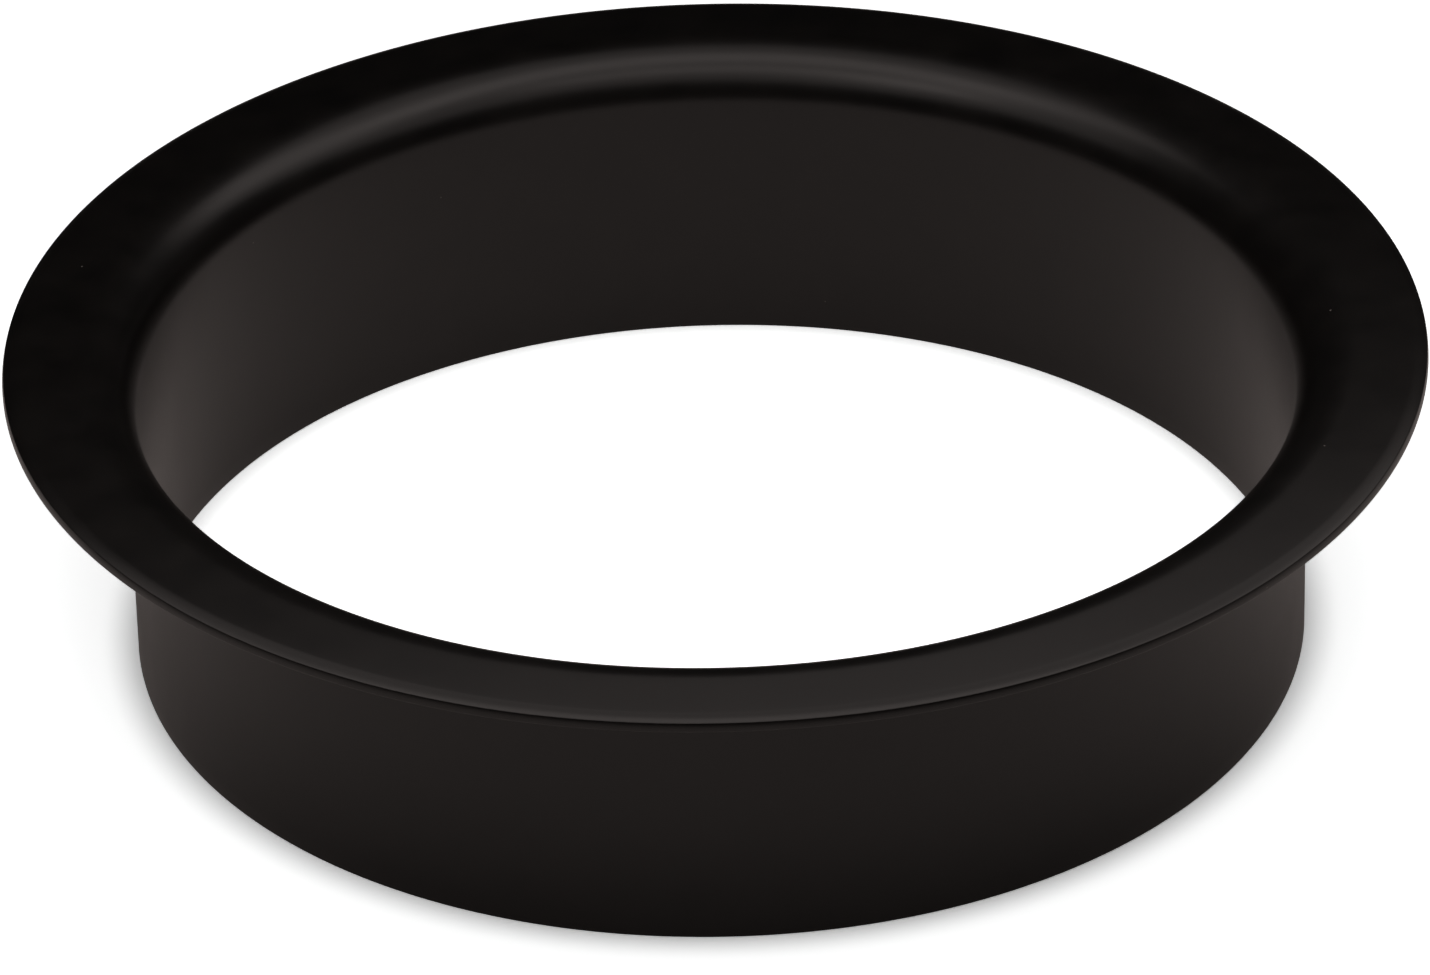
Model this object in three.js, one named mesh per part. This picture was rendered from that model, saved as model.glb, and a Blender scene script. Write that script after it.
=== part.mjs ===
// Countertop waste chute ring: one piece of sheet metal, spun to a wide flange, a soft shoulder
// and a short straight skirt. The skirt drops through a round hole in a worktop and the underside
// of the rim rests on the worktop around it.
//
// Millimetres, +Z up. The origin is the centre of the skirt's foot.
import * as THREE from "three";

const degrees = THREE.MathUtils.degToRad;

// Driving dimensions
const RIM_RADIUS = 120; // outer edge of the flange
const SKIRT_RADIUS = 99.8; // outside of the skirt
const HEIGHT = 55; // foot to the crown of the shoulder
const SHEET = 1.9; // sheet thickness
const SHOULDER_RADIUS = 9.8; // bend between flange and skirt, measured on its outer, visible side
const FLANGE_SLOPE = degrees(2); // how far the flange falls towards its rim
const ROLL_WIDTH = 2.3; // band at the rim where the top face rolls down
const ROLL_DROP = 0.55; // how far it rolls down below the flange's own slope
const EDGE_RADIUS = 3.2; // the rim's cut edge bulges on this radius
const EDGE_TOP = degrees(70); // direction that the edge faces at its top, from straight up
const EDGE_FOOT = degrees(95); // direction that it faces at its foot
const CORNER_RADIUS = 0.2; // broken corners above and below the edge
const LAND_WIDTH = 1.6; // flat band under the rim that rests on the worktop
const LAND_LEAD = 1.2; // short cone between that band and the flange's underside
const FOOT_CHAMFER = 0.2; // broken corners of the skirt's cut edge

// How finely the curves are cut
const TURNS = 96; // flat sides around the ring
const SHOULDER_STEPS = 9;
const FILLET_STEPS = 6;
const ROLL_STEPS = 3;
const EDGE_STEPS = 5;
const CORNER_STEPS = 2;

const BORE_RADIUS = SKIRT_RADIUS - SHEET;
const QUARTER_TURN = Math.PI / 2;

// Centre of the shoulder's bend, in the (radius, height) plane of the profile.
const bendCentre = new THREE.Vector2(BORE_RADIUS + SHOULDER_RADIUS, HEIGHT - SHOULDER_RADIUS);

// A step of some length in the (radius, height) plane, its angle measured from straight up
// towards the outside of the ring.
function step(length, angle) {
  return new THREE.Vector2(length * Math.sin(angle), length * Math.cos(angle));
}

// Points on an arc, with its angles measured in the same way.
function arc(centre, radius, fromAngle, toAngle, steps) {
  const points = [];
  for (let i = 0; i <= steps; i++) {
    const angle = fromAngle + ((toAngle - fromAngle) * i) / steps;
    points.push(step(radius, angle).add(centre));
  }
  return points;
}

// The bore wall and the shoulder over it, up to where the flange begins.
function boreAndShoulder() {
  return [
    new THREE.Vector2(BORE_RADIUS, FOOT_CHAMFER),
    ...arc(bendCentre, SHOULDER_RADIUS, -QUARTER_TURN, FLANGE_SLOPE, SHOULDER_STEPS),
  ];
}

// Height of the flange's top face at a radius, before the rim rolls down.
function flangeTop(radius) {
  const start = step(SHOULDER_RADIUS, FLANGE_SLOPE).add(bendCentre);
  return start.y - (radius - start.x) * Math.tan(FLANGE_SLOPE);
}

// The cut edge, bulging out to the rim's radius, with a small corner above and below it.
// Its heights are measured from the middle of its bulge.
function cutEdge() {
  const centre = new THREE.Vector2(RIM_RADIUS - EDGE_RADIUS, 0);
  const rollEnd = FLANGE_SLOPE + Math.atan((2 * ROLL_DROP) / ROLL_WIDTH);
  const cornerReach = EDGE_RADIUS - CORNER_RADIUS;
  const upperCorner = step(cornerReach, EDGE_TOP).add(centre);
  const lowerCorner = step(cornerReach, EDGE_FOOT).add(centre);
  return [
    ...arc(upperCorner, CORNER_RADIUS, rollEnd, EDGE_TOP, CORNER_STEPS),
    ...arc(centre, EDGE_RADIUS, EDGE_TOP, EDGE_FOOT, EDGE_STEPS).slice(1, -1),
    ...arc(lowerCorner, CORNER_RADIUS, EDGE_FOOT, 2 * QUARTER_TURN, CORNER_STEPS),
  ];
}

// The rim: the top face rolls down to the cut edge, and under it is the flat land that rests on
// the worktop.
function rim() {
  const edge = cutEdge();
  const rollStart = edge[0].x - ROLL_WIDTH;
  const roll = [];
  for (let i = 0; i < ROLL_STEPS; i++) {
    const share = i / ROLL_STEPS;
    const radius = rollStart + ROLL_WIDTH * share;
    roll.push(new THREE.Vector2(radius, flangeTop(radius) - ROLL_DROP * share * share));
  }
  const rise = flangeTop(edge[0].x) - ROLL_DROP - edge[0].y;
  for (const point of edge) {
    point.y += rise;
  }
  const landStart = edge[edge.length - 1];
  return [...roll, ...edge, new THREE.Vector2(landStart.x - LAND_WIDTH, landStart.y)];
}

// The flange's underside, the fillet under the shoulder, the outside of the skirt and its foot.
function underside(landEnd) {
  const leadEnd = landEnd.x - LAND_LEAD;
  return [
    new THREE.Vector2(leadEnd, flangeTop(leadEnd) - SHEET / Math.cos(FLANGE_SLOPE)),
    ...arc(bendCentre, SHOULDER_RADIUS - SHEET, FLANGE_SLOPE, -QUARTER_TURN, FILLET_STEPS),
    new THREE.Vector2(SKIRT_RADIUS, FOOT_CHAMFER),
    new THREE.Vector2(SKIRT_RADIUS - FOOT_CHAMFER, 0),
    new THREE.Vector2(BORE_RADIUS + FOOT_CHAMFER, 0),
  ];
}

// The whole ring: its profile closes on itself and turns once about the Z axis. The outline runs
// anticlockwise in the (radius, height) plane, so that the faces point out.
function chuteRing() {
  const rimPoints = rim();
  const landEnd = rimPoints[rimPoints.length - 1];
  const profile = [...boreAndShoulder(), ...rimPoints, ...underside(landEnd)].reverse();
  profile.push(profile[0].clone());
  const geometry = new THREE.LatheGeometry(profile, TURNS);
  geometry.rotateX(QUARTER_TURN);
  const coating = new THREE.MeshStandardMaterial({
    color: 0x161413, // matte black coating, very slightly warm
    roughness: 0.38,
    metalness: 0,
  });
  const ring = new THREE.Mesh(geometry, coating);
  ring.name = "chute_ring";
  return ring;
}

const part = new THREE.Group();
part.add(chuteRing());

export default part;
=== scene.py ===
import math

import bmesh
import bpy
from mathutils import Matrix, Vector


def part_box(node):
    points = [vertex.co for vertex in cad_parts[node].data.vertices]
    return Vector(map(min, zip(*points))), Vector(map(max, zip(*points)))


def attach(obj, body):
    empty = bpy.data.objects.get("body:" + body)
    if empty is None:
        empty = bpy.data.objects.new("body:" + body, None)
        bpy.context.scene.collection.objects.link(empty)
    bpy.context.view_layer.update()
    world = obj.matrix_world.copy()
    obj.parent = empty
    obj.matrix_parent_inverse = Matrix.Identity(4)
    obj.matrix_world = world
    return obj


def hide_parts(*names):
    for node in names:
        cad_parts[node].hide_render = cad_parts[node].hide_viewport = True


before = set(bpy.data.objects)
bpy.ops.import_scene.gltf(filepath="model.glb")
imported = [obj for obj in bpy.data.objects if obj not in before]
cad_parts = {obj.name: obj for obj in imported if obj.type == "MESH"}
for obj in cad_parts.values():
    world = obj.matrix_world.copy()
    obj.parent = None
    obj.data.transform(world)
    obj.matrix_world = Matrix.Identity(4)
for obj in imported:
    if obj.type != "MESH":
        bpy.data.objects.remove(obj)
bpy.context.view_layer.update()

# The ring's outline, in metres, as the CAD part has it.
RIM_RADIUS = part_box("chute_ring")[1].x
HEIGHT = 0.055
SKIRT_RADIUS = 0.0998
SHEET = 0.0019
BORE_RADIUS = SKIRT_RADIUS - SHEET
SHOULDER_RADIUS = 0.0098  # measured on the bend's outer, visible side
FLANGE_SLOPE = math.radians(2)  # how far the flange falls towards its rim
ROLL_WIDTH = 0.0023  # band at the rim where the top face rolls down
ROLL_DROP = 0.00055
EDGE_RADIUS = 0.0032  # bulge of the rim's cut edge, from its top to its foot
EDGE_TOP = math.radians(70)
EDGE_FOOT = math.radians(95)
CORNER_RADIUS = 0.0002  # broken corners above and below the edge
LAND_WIDTH = 0.0016  # flat band under the rim
LAND_LEAD = 0.0012  # short cone between that band and the flange's underside
FOOT_RADIUS = 0.0002  # broken corners of the skirt's foot

# How finely the visible ring is cut.
TURNS = 420
WALL_STEPS = 16
SHOULDER_STEPS = 30
FLANGE_STEPS = 8
ROLL_STEPS = 10
EDGE_STEPS = 10
CORNER_STEPS = 5
LAND_STEPS = 3

QUARTER_TURN = math.pi / 2

# The coat: near-black, with a low even sheen. The sizes and heights of its texture are in metres.
COAT_DARK = (0.0022, 0.002, 0.0019, 1)
COAT_LIGHT = (0.0042, 0.0037, 0.0034, 1)
COAT_WORN = (0.03, 0.027, 0.025, 1)
COAT_DUST = (0.12, 0.112, 0.105, 1)
COAT_INDEX = 1.4
COAT_ROUGHNESS = (0.275, 0.32)  # where the sheen is strongest and where it is weakest
WORN_ROUGHNESS = 0.27
DUST_ROUGHNESS = 0.85
PEEL_SIZE = 0.0017
PEEL_HEIGHT = 0.0000045
GRAIN_SIZE = 0.0005
GRAIN_HEIGHT = 0.0000018
MOTTLE_SIZE = 0.009
DRIFT_SIZE = 0.035
NOISE_REACH = (0.3, 0.7)  # nearly all of a noise's values lie between these
WEAR_SIZE = 0.0022
WEAR_REACH = (0.45, 0.75)  # the noise values at which the wear begins and is complete
WEAR_MOST = 0.6
DUST_CELL = 0.004  # there is room for one speck in each cell of this size
DUST_SHARE = 0.035  # share of the cells that have one
DUST_RADIUS = 0.00018
DUST_CORE = 0.6  # share of its radius at which a speck begins to fade

# Camera, fitted to the photograph's perspective. Lengths are in metres, apart from the lens.
CAMERA_DISTANCE = 1.63795
CAMERA_ELEVATION = math.radians(31.893)
CAMERA_ROLL = math.radians(-1.3677)
CAMERA_TARGET = Vector((-0.00053, 0, 0.02509))
LENS_MM = 240.58
SENSOR_MM = 36

# Studio: warm softboxes over a pale floor. The photograph's background is overexposed, so the
# camera sees the floor brighter than the ring does.
SOFTBOX_COLOUR = (1.0, 0.9, 0.865)
FLOOR_HALF = 6  # half of the floor's width
FLOOR_COLOUR = (0.8, 0.765, 0.75, 1)  # as it lights the ring
FLOOR_SEEN = (1.5, 1.67, 1.73, 1)  # as the camera sees it
FLOOR_GLOW = 0.6  # what the camera sees on top of that
CONTACT_REACH = 0.0065  # how far from the ring's foot the glow fades: the reach of the painted contact shadow
CONTACT_SHADE = 0.25  # share of the glow that is left at the foot, where the painted contact shadow is darkest
OPEN_BY_WALL = 0.5  # share of the sky that is open right beside a wall
BACKDROP_GLOW = 0.9
ROOM_LIGHT = 0.009


def arc(centre, radius, start, end, steps):
    """Points on an arc in the (radius, height) plane, angles from straight up towards the outside."""
    angles = [start + (end - start) * i / steps for i in range(steps + 1)]
    return [(centre[0] + radius * math.sin(a), centre[1] + radius * math.cos(a)) for a in angles]


def line(start, end, steps):
    """Points along a straight stretch, without its two ends."""
    shares = [i / steps for i in range(1, steps)]
    return [tuple(a + (b - a) * s for a, b in zip(start, end)) for s in shares]


def shifted(points, rise):
    """The same points, moved up."""
    return [(r, z + rise) for r, z in points]


def rim_profile(flange_top):
    """The rolled-down lip, its narrow corner, the bulging cut edge and the flat land under it."""
    edge_centre = (RIM_RADIUS - EDGE_RADIUS, 0)
    inward = EDGE_RADIUS - CORNER_RADIUS
    upper_centre = arc(edge_centre, inward, EDGE_TOP, EDGE_TOP, 1)[0]
    lower_centre = arc(edge_centre, inward, EDGE_FOOT, EDGE_FOOT, 1)[0]
    lip_angle = FLANGE_SLOPE + math.atan(2 * ROLL_DROP / ROLL_WIDTH)
    edge = arc(edge_centre, EDGE_RADIUS, EDGE_TOP, EDGE_FOOT, EDGE_STEPS)
    upper = arc(upper_centre, CORNER_RADIUS, lip_angle, EDGE_TOP, CORNER_STEPS)
    lower = arc(lower_centre, CORNER_RADIUS, EDGE_FOOT, 2 * QUARTER_TURN, CORNER_STEPS)
    roll = []
    for i in range(ROLL_STEPS + 1):
        share = i / ROLL_STEPS
        radius = upper[0][0] - ROLL_WIDTH * (1 - share)
        roll.append((radius, flange_top(radius) - ROLL_DROP * share ** 2))
    face = shifted(upper + edge[1:-1] + lower, roll[-1][1] - upper[0][1])
    land_edge = (face[-1][0] - LAND_WIDTH, face[-1][1])
    return roll[:-1] + face + line(face[-1], land_edge, LAND_STEPS) + [land_edge]


def ring_profile():
    """The ring's closed outline in the (radius, height) plane, from the foot of the bore upwards."""
    bend = (BORE_RADIUS + SHOULDER_RADIUS, HEIGHT - SHOULDER_RADIUS)
    shoulder = arc(bend, SHOULDER_RADIUS, -QUARTER_TURN, FLANGE_SLOPE, SHOULDER_STEPS)
    fillet = arc(bend, SHOULDER_RADIUS - SHEET, FLANGE_SLOPE, -QUARTER_TURN, SHOULDER_STEPS)
    bore_corner = (BORE_RADIUS + FOOT_RADIUS, FOOT_RADIUS)
    skirt_corner = (SKIRT_RADIUS - FOOT_RADIUS, FOOT_RADIUS)
    bore_foot = arc(bore_corner, FOOT_RADIUS, -2 * QUARTER_TURN, -QUARTER_TURN, CORNER_STEPS)
    skirt_foot = arc(skirt_corner, FOOT_RADIUS, QUARTER_TURN, 2 * QUARTER_TURN, CORNER_STEPS)

    def flange_top(radius):
        return shoulder[-1][1] - (radius - shoulder[-1][0]) * math.tan(FLANGE_SLOPE)

    rim = rim_profile(flange_top)
    lead = rim[-1][0] - LAND_LEAD
    lead_point = (lead, flange_top(lead) - SHEET / math.cos(FLANGE_SLOPE))
    points = bore_foot
    points += line(bore_foot[-1], shoulder[0], WALL_STEPS)
    points += shoulder
    points += line(shoulder[-1], rim[0], FLANGE_STEPS)
    points += rim
    points += [lead_point]
    points += line(lead_point, fillet[0], FLANGE_STEPS)
    points += fillet
    points += line(fillet[-1], skirt_foot[0], WALL_STEPS)
    points += skirt_foot
    return points


def corner_wear(profile):
    """How much each point of the outline is rubbed in handling: 1 on its small corners, else 0."""
    wear = []
    for i, (radius, height) in enumerate(profile):
        before = Vector(profile[i - 1])
        after = Vector(profile[(i + 1) % len(profile)])
        here = Vector((radius, height))
        turn = (here - before).angle(after - here)
        step = max((after - here).length, (here - before).length)
        bend_radius = step / turn if turn else math.inf
        wear.append(1.0 if bend_radius < 2 * CORNER_RADIUS else 0.0)
    return wear


def make_ring(material):
    """The spun ring: its outline turned once about Z, as one closed mesh."""
    profile = ring_profile()
    mesh = bpy.data.meshes.new("waste_chute_ring")
    made = bmesh.new()
    loops = []
    for turn in range(TURNS):
        angle = 2 * math.pi * turn / TURNS
        loops.append([made.verts.new((r * math.cos(angle), r * math.sin(angle), z)) for r, z in profile])
    for turn, loop in enumerate(loops):
        following = loops[(turn + 1) % TURNS]
        for i in range(len(profile)):
            j = (i + 1) % len(profile)
            made.faces.new((loop[i], loop[j], following[j], following[i]))
    bmesh.ops.recalc_face_normals(made, faces=made.faces)
    made.to_mesh(mesh)
    made.free()
    mesh.shade_smooth()
    wear = mesh.attributes.new("corner_wear", "FLOAT", "POINT")
    wear.data.foreach_set("value", corner_wear(profile) * TURNS)
    ring = bpy.data.objects.new("waste_chute_ring", mesh)
    bpy.context.scene.collection.objects.link(ring)
    mesh.materials.append(material)
    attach(ring, "root")
    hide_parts("chute_ring")
    return ring


def noise_of_size(tree, place, size, detail):
    """Soft noise whose lumps are about as wide as the given size."""
    node = tree.nodes.new("ShaderNodeTexNoise")
    node.inputs["Scale"].default_value = 1 / size
    node.inputs["Detail"].default_value = detail
    tree.links.new(place, node.inputs["Vector"])
    return node.outputs["Fac"]


def ranged(tree, value, start, end, low, high):
    """The value's stretch from start to end, spread over low to high and held there beyond it."""
    node = tree.nodes.new("ShaderNodeMapRange")
    tree.links.new(value, node.inputs["Value"])
    node.inputs["From Min"].default_value = start
    node.inputs["From Max"].default_value = end
    node.inputs["To Min"].default_value = low
    node.inputs["To Max"].default_value = high
    return node.outputs["Result"]


def combined(tree, operation, first, second):
    """Two numbers, each of them a socket or a constant, put together by a Math node."""
    node = tree.nodes.new("ShaderNodeMath")
    node.operation = operation
    for socket, value in zip(node.inputs, (first, second)):
        if isinstance(value, float):
            socket.default_value = value
        else:
            tree.links.new(value, socket)
    return node.outputs[0]


def mixed(tree, kind, share, first, second):
    """One of two colours or numbers, or between them, by a share."""
    node = tree.nodes.new("ShaderNodeMix")
    node.data_type = kind
    sockets = [s for s in node.inputs if s.type == {"RGBA": "RGBA", "FLOAT": "VALUE"}[kind]][-2:]
    tree.links.new(share, node.inputs["Factor"])
    for socket, value in zip(sockets, (first, second)):
        if isinstance(value, (float, tuple)):
            socket.default_value = value
        else:
            tree.links.new(value, socket)
    return [s for s in node.outputs if s.type == sockets[0].type][0]


def worn_share(tree, place):
    """Rubbed corners, broken up by noise."""
    corners = tree.nodes.new("ShaderNodeAttribute")
    corners.attribute_name = "corner_wear"
    patches = ranged(tree, noise_of_size(tree, place, WEAR_SIZE, detail=3.0), *WEAR_REACH, 0.0, WEAR_MOST)
    return combined(tree, "MULTIPLY", corners.outputs["Fac"], patches)


def dust_share(tree, place):
    """A few pale specks: small balls round the points of some cells, where the surface cuts them."""
    cells = tree.nodes.new("ShaderNodeTexVoronoi")
    cells.inputs["Scale"].default_value = 1 / DUST_CELL
    tree.links.new(place, cells.inputs["Vector"])
    reach = DUST_RADIUS / DUST_CELL
    speck = ranged(tree, cells.outputs["Distance"], DUST_CORE * reach, reach, 1.0, 0.0)
    cell_number = tree.nodes.new("ShaderNodeSeparateColor")
    tree.links.new(cells.outputs["Color"], cell_number.inputs[0])
    chosen = combined(tree, "LESS_THAN", cell_number.outputs[0], DUST_SHARE)
    return combined(tree, "MULTIPLY", speck, chosen)


def coating_material():
    """Matte black powder coat: faint orange peel and grain, mottled tone and sheen, rubbed corners, dust."""
    material = bpy.data.materials.new("black_powder_coat")
    material.use_nodes = True
    tree = material.node_tree
    shader = tree.nodes["Principled BSDF"]
    place = tree.nodes.new("ShaderNodeTexCoord").outputs["Object"]
    mottle = noise_of_size(tree, place, MOTTLE_SIZE, detail=4.0)
    drift = noise_of_size(tree, place, DRIFT_SIZE, detail=2.0)
    grain = noise_of_size(tree, place, GRAIN_SIZE, detail=2.0)
    peel = noise_of_size(tree, place, PEEL_SIZE, detail=1.0)
    worn = worn_share(tree, place)
    dust = dust_share(tree, place)

    tone = ranged(tree, mottle, *NOISE_REACH, 0.0, 1.0)
    colour = mixed(tree, "RGBA", tone, COAT_DARK, COAT_LIGHT)
    colour = mixed(tree, "RGBA", worn, colour, COAT_WORN)
    colour = mixed(tree, "RGBA", dust, colour, COAT_DUST)
    tree.links.new(colour, shader.inputs["Base Color"])

    average = combined(tree, "MULTIPLY", combined(tree, "ADD", drift, mottle), 0.5)
    roughness = ranged(tree, average, *NOISE_REACH, *COAT_ROUGHNESS)
    roughness = mixed(tree, "FLOAT", worn, roughness, WORN_ROUGHNESS)
    roughness = mixed(tree, "FLOAT", dust, roughness, DUST_ROUGHNESS)
    tree.links.new(roughness, shader.inputs["Roughness"])

    peel_height = combined(tree, "MULTIPLY", peel, PEEL_HEIGHT)
    grain_height = combined(tree, "MULTIPLY", grain, GRAIN_HEIGHT)
    bump = tree.nodes.new("ShaderNodeBump")
    bump.inputs["Distance"].default_value = 1.0
    tree.links.new(combined(tree, "ADD", peel_height, grain_height), bump.inputs["Height"])
    tree.links.new(bump.outputs["Normal"], shader.inputs["Normal"])

    shader.inputs["IOR"].default_value = COAT_INDEX
    return material


def floor_material():
    """Pale floor, clear from below. It looks brighter than it lights, except close to the ring's foot, where
    a painted contact shadow dims its glow.
    """
    material = bpy.data.materials.new("pale_floor")
    material.use_nodes = True
    tree = material.node_tree
    tree.nodes.clear()
    matte = tree.nodes.new("ShaderNodeBsdfDiffuse")
    glow = tree.nodes.new("ShaderNodeEmission")
    seen = tree.nodes.new("ShaderNodeLightPath").outputs["Is Camera Ray"]
    tree.links.new(mixed(tree, "RGBA", seen, FLOOR_COLOUR, FLOOR_SEEN), matte.inputs["Color"])
    # Painted contact shadow: an Ambient Occlusion node dims the glow the camera sees wherever the ring's
    # foot is close by.
    nearby = tree.nodes.new("ShaderNodeAmbientOcclusion")
    nearby.inputs["Distance"].default_value = CONTACT_REACH
    painted_contact_shadow = ranged(tree, nearby.outputs["AO"], OPEN_BY_WALL, 1.0, CONTACT_SHADE, 1.0)
    strength = combined(tree, "MULTIPLY", combined(tree, "MULTIPLY", seen, FLOOR_GLOW), painted_contact_shadow)
    tree.links.new(strength, glow.inputs["Strength"])
    bright = tree.nodes.new("ShaderNodeAddShader")
    tree.links.new(matte.outputs[0], bright.inputs[0])
    tree.links.new(glow.outputs[0], bright.inputs[1])
    sides = tree.nodes.new("ShaderNodeMixShader")
    tree.links.new(tree.nodes.new("ShaderNodeNewGeometry").outputs["Backfacing"], sides.inputs[0])
    tree.links.new(bright.outputs[0], sides.inputs[1])
    tree.links.new(tree.nodes.new("ShaderNodeBsdfTransparent").outputs[0], sides.inputs[2])
    tree.links.new(sides.outputs[0], tree.nodes.new("ShaderNodeOutputMaterial").inputs["Surface"])
    return material


def make_floor():
    """A large square at the height of the ring's foot."""
    mesh = bpy.data.meshes.new("floor")
    corners = [(-FLOOR_HALF, -FLOOR_HALF, 0), (FLOOR_HALF, -FLOOR_HALF, 0),
               (FLOOR_HALF, FLOOR_HALF, 0), (-FLOOR_HALF, FLOOR_HALF, 0)]
    mesh.from_pydata(corners, [], [(0, 1, 2, 3)])
    floor = bpy.data.objects.new("floor", mesh)
    bpy.context.scene.collection.objects.link(floor)
    mesh.materials.append(floor_material())


def make_world():
    """A pale backdrop to look at, and a dim even room for the light that falls on things."""
    world = bpy.data.worlds.new("studio")
    world.use_nodes = True
    tree = world.node_tree
    backdrop = tree.nodes["Background"]
    backdrop.inputs["Color"].default_value = (1, 1, 1, 1)
    rays = tree.nodes.new("ShaderNodeLightPath")
    strength = ranged(tree, rays.outputs["Is Camera Ray"], 0, 1, ROOM_LIGHT, BACKDROP_GLOW)
    tree.links.new(strength, backdrop.inputs["Strength"])
    bpy.context.scene.world = world


def make_camera():
    """The camera looks towards +Y and down, a little rolled."""
    data = bpy.data.cameras.new("camera")
    data.lens = LENS_MM
    data.sensor_width = SENSOR_MM
    camera = bpy.data.objects.new("camera", data)
    bpy.context.scene.collection.objects.link(camera)
    place = CAMERA_DISTANCE * Vector((0, -math.cos(CAMERA_ELEVATION), math.sin(CAMERA_ELEVATION)))
    aim = (CAMERA_TARGET - place).to_track_quat("-Z", "Y").to_matrix().to_4x4()
    camera.matrix_world = Matrix.Translation(place) @ aim @ Matrix.Rotation(CAMERA_ROLL, 4, "Z")
    bpy.context.scene.camera = camera


def softbox(name, x, y, height, radiance, turned=0):
    """A level panel over two stretches, x and y, that lights what is under it.

    It is turned about its middle, and the camera doesn't see it.
    """
    data = bpy.data.lights.new(name, "AREA")
    data.shape = "RECTANGLE"
    data.size = x[1] - x[0]
    data.size_y = y[1] - y[0]
    data.color = SOFTBOX_COLOUR
    data.energy = math.pi * data.size * data.size_y * radiance / SOFTBOX_COLOUR[1]
    light = bpy.data.objects.new(name, data)
    bpy.context.scene.collection.objects.link(light)
    light.location = (sum(x) / 2, sum(y) / 2, height)
    light.rotation_euler.z = turned
    light.visible_camera = False


make_world()
make_camera()
make_floor()
make_ring(coating_material())
softbox("low_softbox", (-0.39, 0.42), (-0.266, 0.146), 0.23, 0.58, turned=math.radians(15))
softbox("mid_softbox", (-0.626, 0.32), (-0.47, -0.27), 0.6, 1)
softbox("strip_softbox", (-0.35, 0.45), (-0.15, 0.05), 0.6, 1)
softbox("left_softbox", (-1.51, -0.84), (-1.89, 0.8), 1.5, 0.6)
softbox("right_softbox", (1.08, 2.33), (-0.55, 1.32), 1.5, 0.66)
bpy.context.scene.view_settings.view_transform = "Standard"
